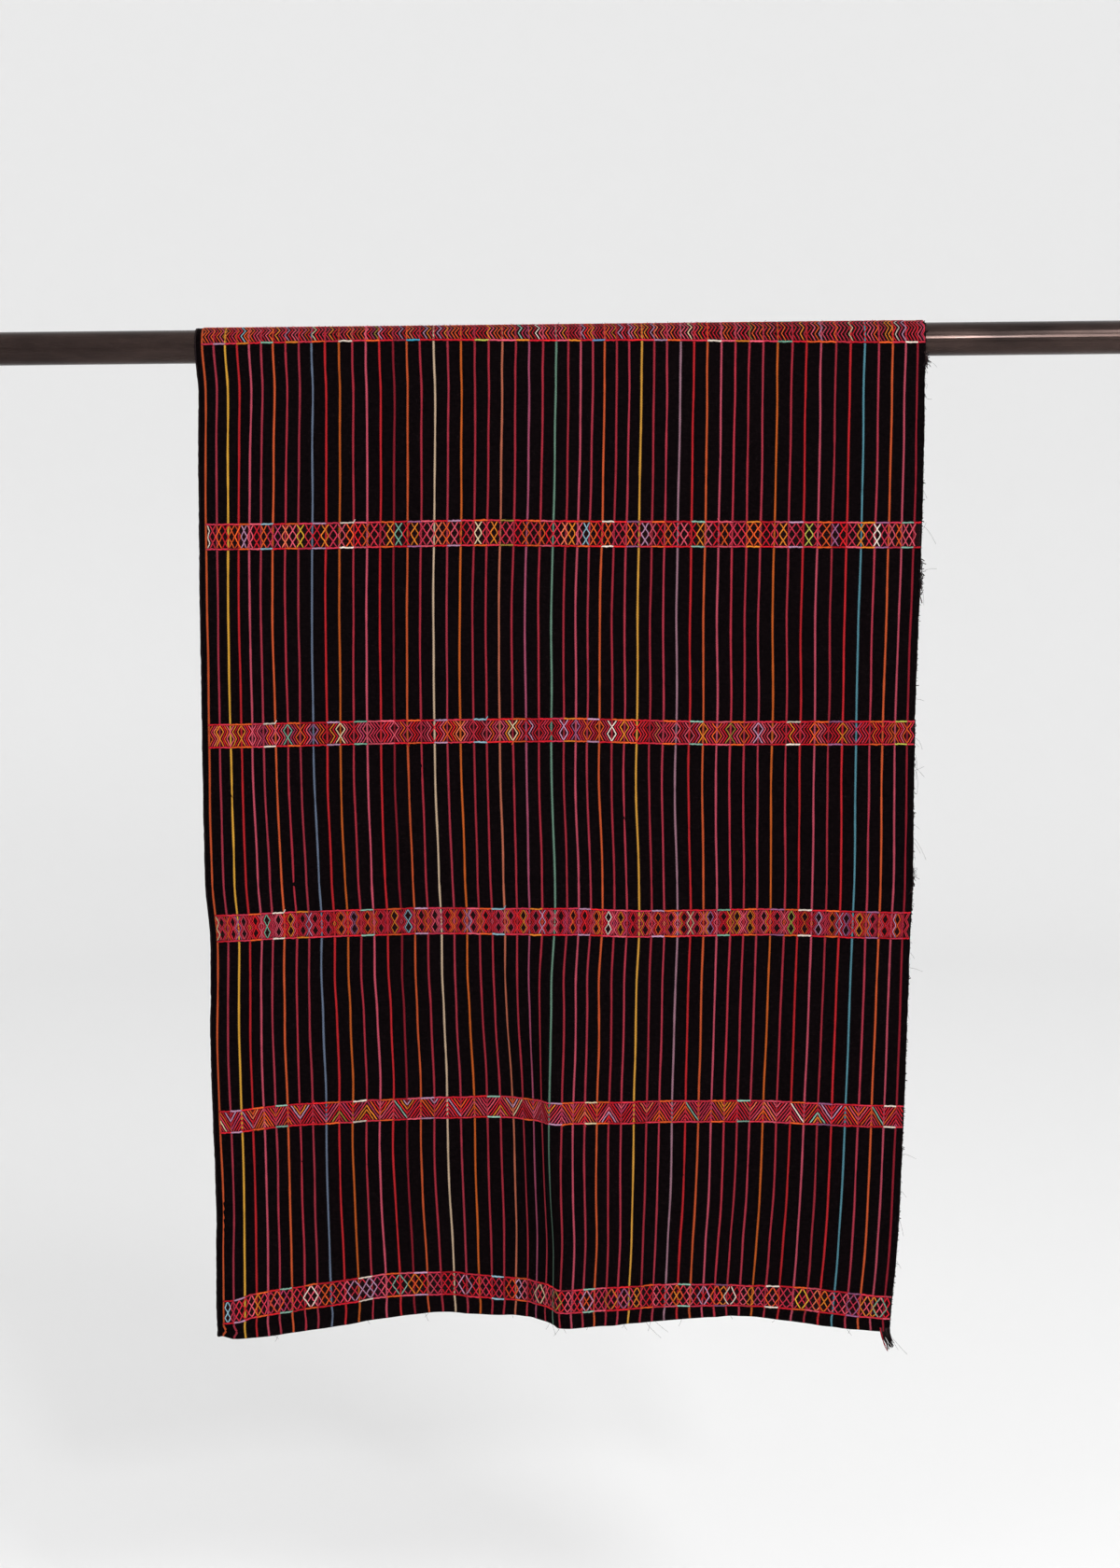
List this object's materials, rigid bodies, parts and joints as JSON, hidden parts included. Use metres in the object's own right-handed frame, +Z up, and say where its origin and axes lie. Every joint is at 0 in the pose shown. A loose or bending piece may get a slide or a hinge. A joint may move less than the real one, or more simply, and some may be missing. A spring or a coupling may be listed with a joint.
{
  "type": "handwoven skirt cloth hung over a round rod",
  "caption": "Black handwoven cloth with narrow bright warp stripes and embroidered bands, folded over a dark round metal rod, with a frayed lower corner.",
  "frame": {"origin": "middle of the rod's axis", "axes": "+X along the rod to the viewer's right, +Y away from the viewer, +Z up; the cloth's front panel is on the -Y side"},
  "size_m": [1.2, 0.0697, 1.0655],
  "materials": {
    "rod_metal": "dark, worn, half gloss",
    "woven_cotton": "matte handwoven cotton, black with bright stripes",
    "loose_yarn": "matte loose cotton yarn"
  },
  "bodies": {
    "root": {"rod": "rod_metal", "cloth": "woven_cotton", "fray_tuft": "loose_yarn"}
  },
  "joints": []
}
